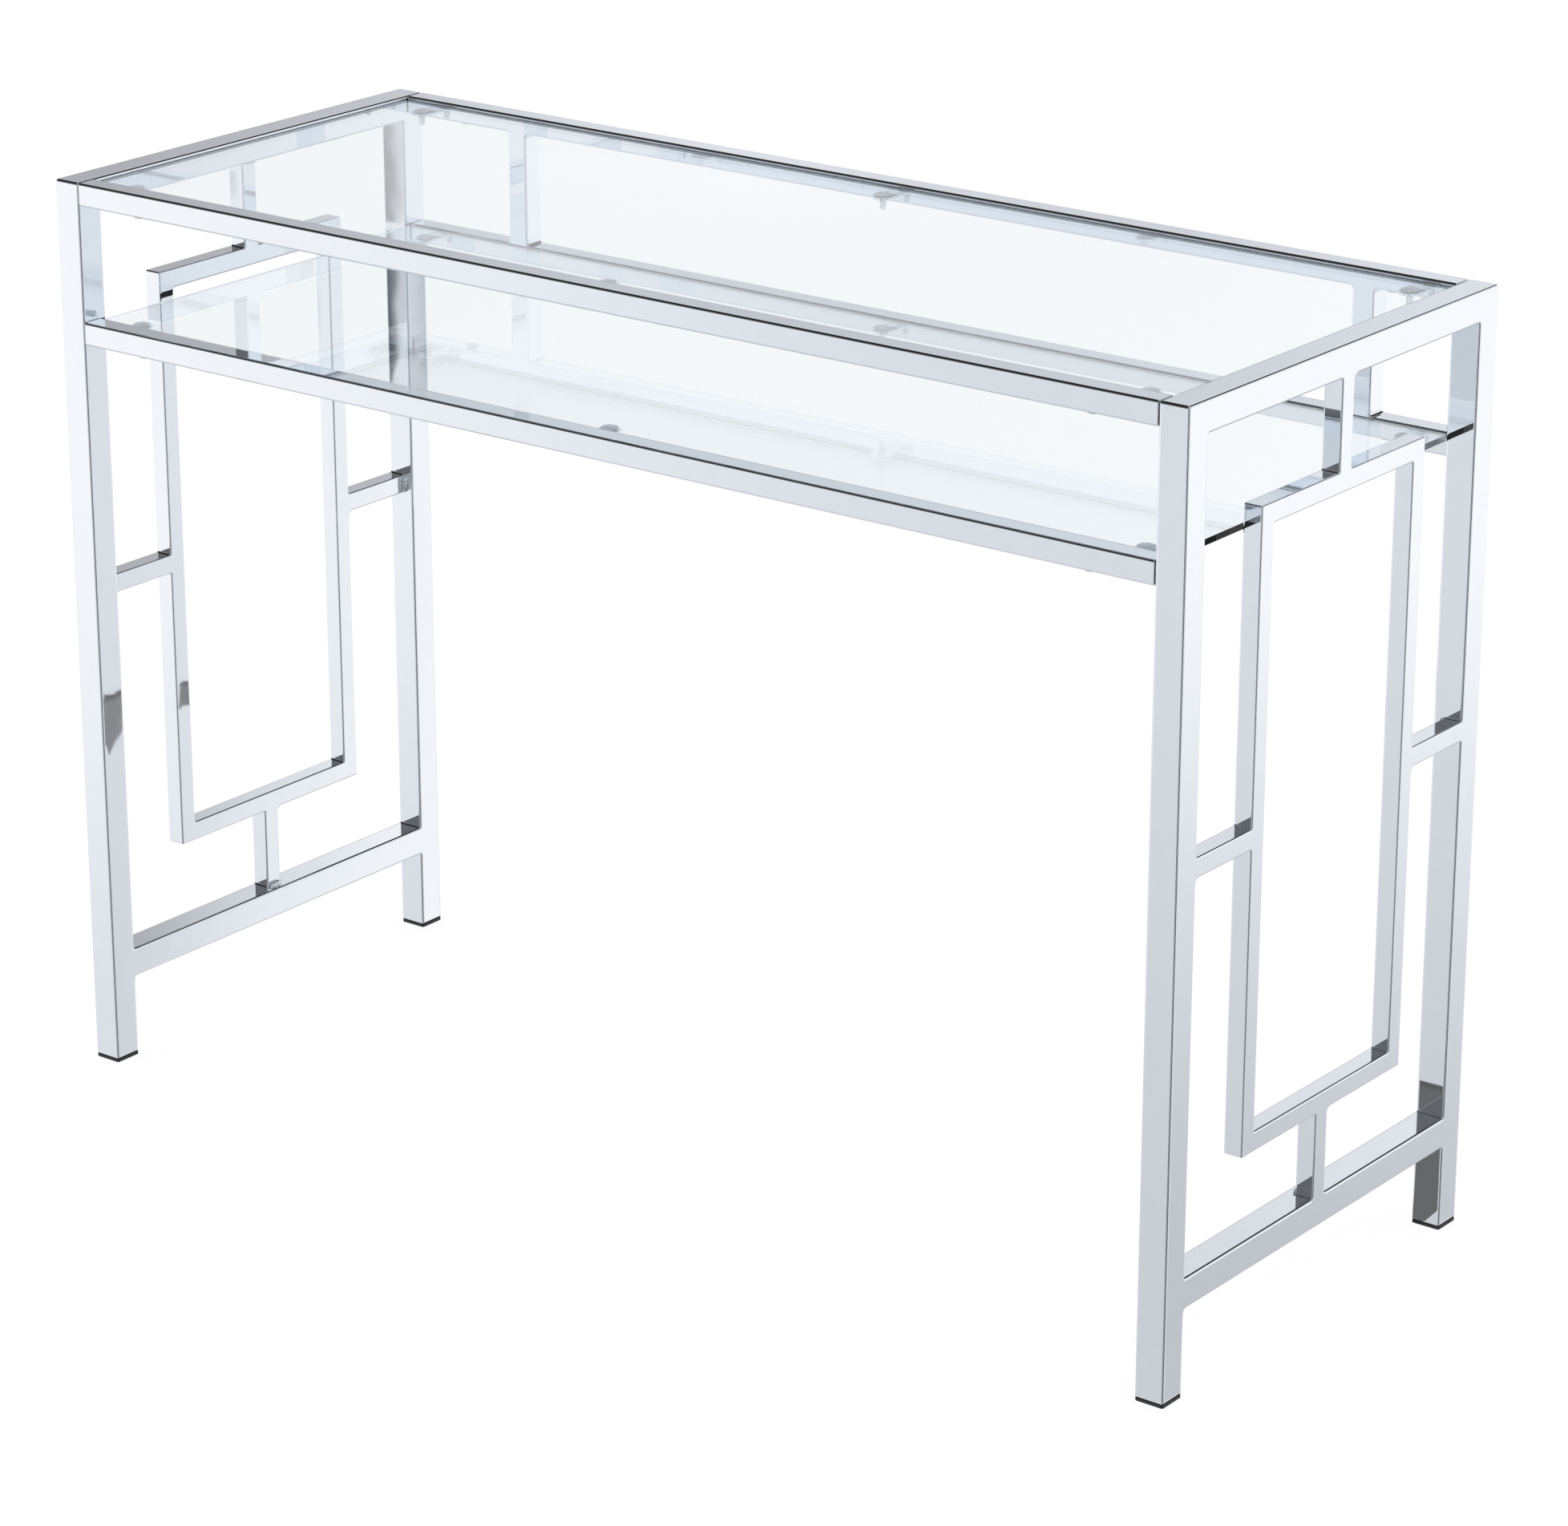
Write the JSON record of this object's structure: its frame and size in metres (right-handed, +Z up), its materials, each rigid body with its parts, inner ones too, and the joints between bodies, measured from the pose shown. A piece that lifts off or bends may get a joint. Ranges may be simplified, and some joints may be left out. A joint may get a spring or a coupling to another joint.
{
  "type": "console table",
  "caption": "Chrome console table: welded end frames of square tube, each with an inner rectangle on short stubs, joined by long rails under an inset clear glass top and a clear glass shelf",
  "frame": {"origin": "centre of the table's footprint, on the floor under the foot caps", "axes": "+X along the length, to the right when facing the front; +Y towards the back, where the two posts are; +Z up"},
  "size_m": [1.085, 0.416, 0.762],
  "materials": {
    "tube_chrome": "bright mirror chrome plate on steel tube",
    "weld_chrome": "chrome plate over ground weld fillets",
    "clear_glass": "clear float glass, polished edges with a grey-green cast",
    "clear_pad": "clear soft plastic",
    "plated_tab": "chrome plate",
    "peg_steel": "bare steel",
    "screw_steel": "zinc plate",
    "black_plastic": "matte black moulded plastic"
  },
  "bodies": {
    "root": {"left_front_leg": "tube_chrome", "left_rear_leg": "tube_chrome", "right_front_leg": "tube_chrome", "right_rear_leg": "tube_chrome", "left_top_rail": "tube_chrome", "right_top_rail": "tube_chrome", "left_bottom_rail": "tube_chrome", "right_bottom_rail": "tube_chrome", "left_inner_top_bar": "tube_chrome", "left_inner_bottom_bar": "tube_chrome", "left_inner_front_bar": "tube_chrome", "left_inner_rear_bar": "tube_chrome", "right_inner_top_bar": "tube_chrome", "right_inner_bottom_bar": "tube_chrome", "right_inner_front_bar": "tube_chrome", "right_inner_rear_bar": "tube_chrome", "left_upper_stub": "tube_chrome", "left_lower_stub": "tube_chrome", "left_front_stub": "tube_chrome", "left_rear_stub": "tube_chrome", "right_upper_stub": "tube_chrome", "right_lower_stub": "tube_chrome", "right_front_stub": "tube_chrome", "right_rear_stub": "tube_chrome", "left_welds": "weld_chrome", "right_welds": "weld_chrome", "front_top_rail": "tube_chrome", "back_top_rail": "tube_chrome", "front_shelf_rail": "tube_chrome", "back_shelf_rail": "tube_chrome", "left_back_post": "tube_chrome", "right_back_post": "tube_chrome", "post_welds": "weld_chrome", "glass_top": "clear_glass", "glass_shelf": "clear_glass", "top_pads": "clear_pad", "shelf_pads": "clear_pad", "top_pad_tabs": "plated_tab", "shelf_pad_tabs": "plated_tab", "left_pegs": "peg_steel", "right_pegs": "peg_steel", "rail_screws": "screw_steel", "left_front_foot_cap": "black_plastic", "left_rear_foot_cap": "black_plastic", "right_front_foot_cap": "black_plastic", "right_rear_foot_cap": "black_plastic"}
  },
  "joints": []
}
